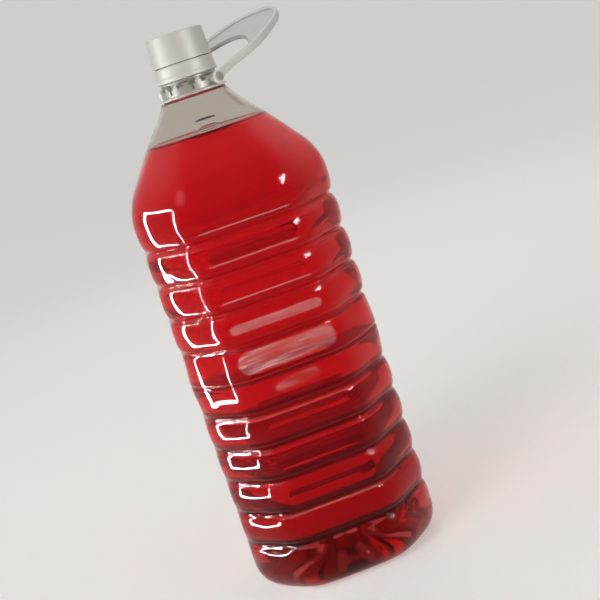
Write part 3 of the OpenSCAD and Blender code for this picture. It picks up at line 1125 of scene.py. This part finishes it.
@dataclass
class CarryHandle:
    """The hinged handle, with a rim, a grip plate and two eyes, and the snap ring with bosses that it swings on."""

    SIDES: ClassVar[dict[str, float]] = {"left": 1.0, "right": -1.0}

    pin_z: float = 335.6
    turn_deg: float = 45.0
    tilt_deg: float = 20.0
    hinge_half: float = 26.0
    half_w: float = 36.0
    reach: float = 101.0
    widest: float = 44.0
    straight: float = 6.0
    power: float = 2.3
    arm_t: float = 2.6
    arm_h: float = 5.4
    gap_l: float = 61.0
    gap_bow: float = 25.0
    plate_t: float = 1.8
    eye_r: float = 4.1
    pin_r: float = 2.0
    ring_z: float = 331.8
    ring_r: float = 20.0
    ring_bore: float = 16.8
    slots: int = 8

    def to_frame(self, local: np.ndarray) -> np.ndarray:
        """Moves points from the handle's own axes into the frame: tilt about the hinge, then turn about the axis.

        Args:
            local: Points as (reach, side, height) in millimetres.

        Returns:
            The points in metres.
        """
        tilt, turn = np.radians(self.tilt_deg), np.radians(self.turn_deg)
        u, v, w = local[..., 0], local[..., 1], local[..., 2]
        out, z = u * np.cos(tilt) - w * np.sin(tilt), u * np.sin(tilt) + w * np.cos(tilt)
        x = out * np.cos(turn) - v * np.sin(turn)
        y = out * np.sin(turn) + v * np.cos(turn)
        return np.stack([x, y, z + self.pin_z], -1) * MM

    def outline(self, steps: int, inset: float) -> np.ndarray:
        """Points of the handle's outline, from one hinge round the tip to the other.

        The half width grows from the hinge to the widest place as (1 - cos) / 2, and the tip is a superellipse.

        Args:
            steps: Points along the whole outline.
            inset: How far inside the outer edge they lie.

        Returns:
            Steps x 2 of (reach, side), evenly spaced.
        """
        u = np.linspace(1.5, self.widest, 60)
        s = np.clip((u - self.straight) / (self.widest - self.straight), 0.0, 1.0)
        arm = np.stack([u, self.hinge_half + (self.half_w - self.hinge_half) * (1 - np.cos(np.pi * s)) / 2 - inset], -1)
        a = np.linspace(0.0, np.pi / 2, 90)[1:]
        tip = np.stack([
            self.widest + (self.reach - self.widest - inset) * np.sin(a) ** (2 / self.power),
            (self.half_w - inset) * np.clip(np.cos(a), 0.0, 1.0) ** (2 / self.power),
        ], -1)
        half = np.vstack([arm, tip])
        whole = np.vstack([half, half[-2::-1] * [1.0, -1.0]])
        run = np.concatenate([[0.0], np.cumsum(np.linalg.norm(np.diff(whole, axis=0), axis=1))])
        at = np.linspace(0.0, run[-1], steps)
        return np.stack([np.interp(at, run, whole[:, 0]), np.interp(at, run, whole[:, 1])], -1)

    def rim(self) -> bpy.types.Object:
        """The arms and the rim: a tall rounded section carried round the outline.

        Returns:
            The mesh object.
        """
        flat = self.outline(190, self.arm_t / 2)
        step = np.gradient(flat, axis=0)
        step /= np.linalg.norm(step, axis=1, keepdims=True)
        zero = np.zeros(len(flat))
        side = np.stack([step[:, 1], -step[:, 0], zero], -1)
        section = superellipse(self.arm_t / 2, self.arm_h / 2, 4.5, 24)
        near = np.abs(np.linspace(-1.0, 1.0, len(flat)))[:, None, None]
        scale = np.concatenate([1.0 + 0.0 * near, 1.0 - 0.12 * smooth_step((0.8 - near) / 0.5)], -1)
        section = section[None] * scale
        local = np.stack([flat[:, 0], flat[:, 1], zero], -1)
        points = local[:, None] + section[..., :1] * side[:, None] + section[..., 1:] * np.array([0.0, 0.0, 1.0])
        return grid_mesh("handle_rim", self.to_frame(points), End.POLE, 40.0)

    def plate(self) -> bpy.types.Object:
        """The grip plate: a sheet between the finger gap's edge and the rim, thicker along the gap.

        A point is (1 - b) F(a) + b G(a), with F on the edge, whose reach is gap_l - bow (side / 29.4)^2, and G on the
        rim's middle line, for a from one side to the other and b from the gap to the rim. Its half thickness falls
        from the lip's to the plate's.

        Returns:
            The mesh object.
        """
        rim_line = self.outline(700, self.arm_t / 2)
        side = 32.4
        start = self.gap_l - self.gap_bow * (side / 29.4) ** 2
        inside = rim_line[rim_line[:, 0] > start]
        a = np.linspace(0.0, 1.0, 81)
        pick = a * (len(inside) - 1)
        place = np.arange(len(inside))
        back = np.stack([np.interp(pick, place, inside[:, 0]), np.interp(pick, place, inside[:, 1])], -1)
        v = side * np.cos(np.pi * a)
        v = np.where(back[0, 1] > 0, v, -v)
        front = np.stack([self.gap_l - self.gap_bow * (v / 29.4) ** 2, v], -1)
        b = np.array([1.0, 0.8, 0.6, 0.4, 0.25, 0.12, 0.085, 0.06, 0.03, 0.008])
        depth = np.linalg.norm(back - front, axis=1)[:, None]
        lip = 1.0 - smooth_step((b[None] * depth - 2.0) / 1.6)
        half = self.plate_t / 2 + 0.6 * lip - 0.7 * smooth_step((0.035 - b[None]) / 0.03)
        spread = front[:, None] + (back - front)[:, None] * b[None, :, None]
        upper = np.concatenate([spread, half[..., None]], -1)
        lower = np.concatenate([spread, -half[..., None]], -1)[:, ::-1]
        nose = np.concatenate([front, 0.0 * depth], -1)[:, None]
        loop = np.concatenate([upper, nose, lower], 1)
        return grid_mesh("handle_plate", self.to_frame(loop), End.POLE, 40.0)

    def eye(self, name: str, side: float) -> bpy.types.Object:
        """A hinge eye: a ring with rounded edges whose bore lets the pin through.

        Args:
            name: The object's name.
            side: 1 or -1, the side that it lies on.

        Returns:
            The mesh object.
        """
        half = self.arm_t / 2
        ring = rounded_profile([
            (self.pin_r, -half, 0.2), (self.eye_r, -half, 0.6), (self.eye_r, half, 0.6), (self.pin_r, half, 0.2)
        ], 4)
        angle = -np.arange(48) * TURN / 48
        r, v = ring[:, :1], ring[:, 1:]
        points = np.stack([
            r * np.cos(angle), side * (self.hinge_half - half) + v + 0 * angle, r * np.sin(angle)
        ], -1)
        return grid_mesh(name, self.to_frame(points), End.RING, 35.0)

    def collar(self) -> bpy.types.Object:
        """The snap ring: slots are dips of the outer radius above its foot, and lugs are rises of its top edge.

        Returns:
            The mesh object.
        """
        angle = np.arange(576) * TURN / 576
        apart = np.abs((angle * self.slots / TURN + 0.5) % 1.0 - 0.5) * TURN / self.slots * self.ring_r
        slot = smooth_step((0.8 - apart) / 0.3)
        lug_apart = np.abs((angle * 2 * self.slots / TURN) % 1.0 - 0.5) * TURN / self.slots / 2 * self.ring_r
        top = self.ring_z + 4.6 + 1.9 * smooth_step((1.7 - lug_apart) / 0.4) * (1.0 - slot)
        outer = self.ring_r - 2.5 * slot
        bore, rim, foot = self.ring_bore, self.ring_r, self.ring_z
        rows = [
            (bore, foot + 0.06), (rim - 0.3, foot + 0.06), (rim, foot + 0.35), (rim, foot + 1.5),
            (outer, foot + 1.65), (outer, top - 0.35), (outer - 0.3, top), (bore + 0.2, top),
        ]
        points = np.stack([round_axis(r, angle, z) for r, z in rows])
        return grid_mesh("snap_ring", points * MM, End.RING, 35.0)

    def boss(self, name: str, side: float) -> bpy.types.Object:
        """A hinge boss with its pin and the pin's head, turned about the hinge's axis.

        Args:
            name: The object's name.
            side: 1 or -1, the side that it points to.

        Returns:
            The mesh object.
        """
        along = np.array([
            (0.1, 17.7), (3.0, 17.7), (3.35, 18.0), (3.35, 22.7), (3.05, 23.05), (1.9, 23.05), (1.9, 26.35),
            (2.5, 26.35), (2.85, 26.6), (2.85, 26.8), (2.5, 27.05), (0.1, 27.05),
        ])
        angle = -side * np.arange(40) * TURN / 40
        r, v = along[:, :1], along[:, 1:]
        points = np.stack([r * np.cos(angle), side * v + 0 * angle, r * np.sin(angle)], -1)
        return grid_mesh(name, self.to_frame(points), End.POLE, 35.0)

    def build(self) -> None:
        """Makes and dresses the handle's pieces and the collar that it swings on."""
        dress(self.rim(), NATURAL, Body.HANDLE, Slot.NATURAL, "handle")
        dress(self.plate(), WEB, Body.HANDLE, Slot.NATURAL, "handle")
        for end, side in self.SIDES.items():
            dress(self.eye(f"hinge_eye_{end}", side), NATURAL, Body.HANDLE, Slot.NATURAL)
        dress(self.collar(), RING, Body.COLLAR, Slot.NATURAL, "handle_collar")
        for end, side in self.SIDES.items():
            dress(self.boss(f"hinge_boss_{end}", side), RING, Body.COLLAR, Slot.NATURAL)


@dataclass
class Studio:
    """Pale floor and backdrop, soft lamps, and the camera at the photograph's viewpoint."""

    eye: tuple[float, float, float] = (-0.0467, -0.6988, 0.3313)
    heading_deg: float = 5.77
    pitch_deg: float = 12.4
    roll_deg: float = 18.33
    lens: float = 63.0
    ground: Ground = Ground("pale_ground", (0.80, 0.79, 0.77))
    surround: Surround = Surround("pale_surround", (1.0, 0.985, 0.96), seen=0.9, cast=0.42)

    def sweep_floor(self) -> None:
        """A round floor that curves up into a wall: height is R - sqrt(R^2 - d^2) beyond the flat part."""
        flat_r, curve_r = 1.7, 1.3
        bend = np.linspace(0.0, 1.35, 14)
        r = np.concatenate([np.linspace(0.02, flat_r, 8), flat_r + curve_r * np.sin(bend[1:])])
        z = np.concatenate([np.zeros(8), curve_r * (1.0 - np.cos(bend[1:]))])
        profile = np.vstack([np.stack([r, z - 0.02], -1), np.stack([r, z], -1)[::-1]])
        points = round_axis(profile[:, :1], np.arange(96) * TURN / 96, profile[:, 1:])
        floor = grid_mesh("studio_floor", points, End.POLE)
        floor.data.materials.append(self.ground.material)

    def lamp(
        self, name: str, at: tuple[float, float, float], aim: tuple[float, float, float], size: tuple[float, float],
        glow: float, only_gloss: bool = False,
    ) -> None:
        """An area lamp of even brightness.

        Args:
            name: The lamp's name.
            at: Its place, in metres.
            aim: The point that it faces.
            size: Width and height in metres.
            glow: Its brightness, where 1 is white. Its power is pi times area times glow.
            only_gloss: It shows in reflections only, and lights nothing else.
        """
        data = bpy.data.lights.new(name, "AREA")
        data.shape, data.size, data.size_y = "RECTANGLE", size[0], size[1]
        data.energy = np.pi * size[0] * size[1] * glow
        obj = bpy.data.objects.new(name, data)
        obj.location = at
        obj.rotation_euler = (Vector(aim) - Vector(at)).to_track_quat("-Z", "Y").to_euler()
        obj.visible_camera = False
        obj.visible_diffuse = obj.visible_transmission = not only_gloss
        bpy.context.scene.collection.objects.link(obj)

    def frame_light(self) -> None:
        """Four bright bars in an upright rectangle on the left, which the ribs at the corner mirror as outlines."""
        x, y, low, high, half, bar = -0.33, -0.07, 0.015, 0.37, 0.08, 0.016
        mid, tall, wide = (low + high) / 2, high - low, 2 * half
        for name, side, z, size in [
            ("frame_top", 0.0, high, (wide, bar)), ("frame_foot", 0.0, low, (wide, bar)),
            ("frame_back", half, mid, (bar, tall)), ("frame_front", -half, mid, (bar, tall)),
        ]:
            self.lamp(name, (x, y + side, z), (0.0, y + side, z), size, 190.0, True)

    def camera(self) -> None:
        """The camera: level heading, pitched down, and rolled so that the bottle leans to the left."""
        turn, pitch, roll = (np.radians(d) for d in (self.heading_deg, self.pitch_deg, self.roll_deg))
        ahead = np.array([np.sin(turn) * np.cos(pitch), np.cos(turn) * np.cos(pitch), -np.sin(pitch)])
        right = np.array([np.cos(turn), -np.sin(turn), 0.0])
        up = np.cross(right, ahead)
        rolled_up = up * np.cos(roll) + right * np.sin(roll)
        rolled_right = right * np.cos(roll) - up * np.sin(roll)
        pose = np.eye(4)
        pose[:3, 0], pose[:3, 1], pose[:3, 2], pose[:3, 3] = rolled_right, rolled_up, -ahead, self.eye
        data = bpy.data.cameras.new("camera")
        data.lens, data.sensor_width, data.sensor_fit = self.lens, 36.0, "HORIZONTAL"
        data.clip_start = 0.02
        obj = bpy.data.objects.new("camera", data)
        obj.matrix_world = Matrix(pose.tolist())
        bpy.context.scene.collection.objects.link(obj)
        bpy.context.scene.camera = obj

    def build(self) -> None:
        """Sets up the whole studio."""
        self.sweep_floor()
        self.surround.light()
        self.lamp("key_softbox", (-1.0, -0.9, 1.25), (0.0, 0.0, 0.15), (0.8, 0.8), 4.0)
        self.lamp("fill_softbox", (1.3, -0.7, 0.8), (0.0, 0.0, 0.2), (0.9, 0.9), 0.4)
        self.lamp("back_softbox", (0.3, 1.2, 1.3), (0.0, 0.0, 0.2), (0.9, 0.6), 1.6)
        self.lamp("edge_strip", (0.42, -0.50, 0.37), (0.05, -0.05, 0.2), (0.24, 0.14), 110.0, True)
        self.frame_light()
        self.camera()
        scene = bpy.context.scene
        scene.view_settings.view_transform = "Standard"
        scene.cycles.max_bounces = scene.cycles.transmission_bounces = 32


def main() -> None:
    """Builds the studio and every sub-assembly, in order."""
    logging.basicConfig(level=logging.INFO, format="%(name)s: %(message)s")
    Studio().build()
    for assembly in (BlownBody(), NeckFinish(), Closure(), CarryHandle()):
        assembly.build()


if __name__ == "__main__":
    main()
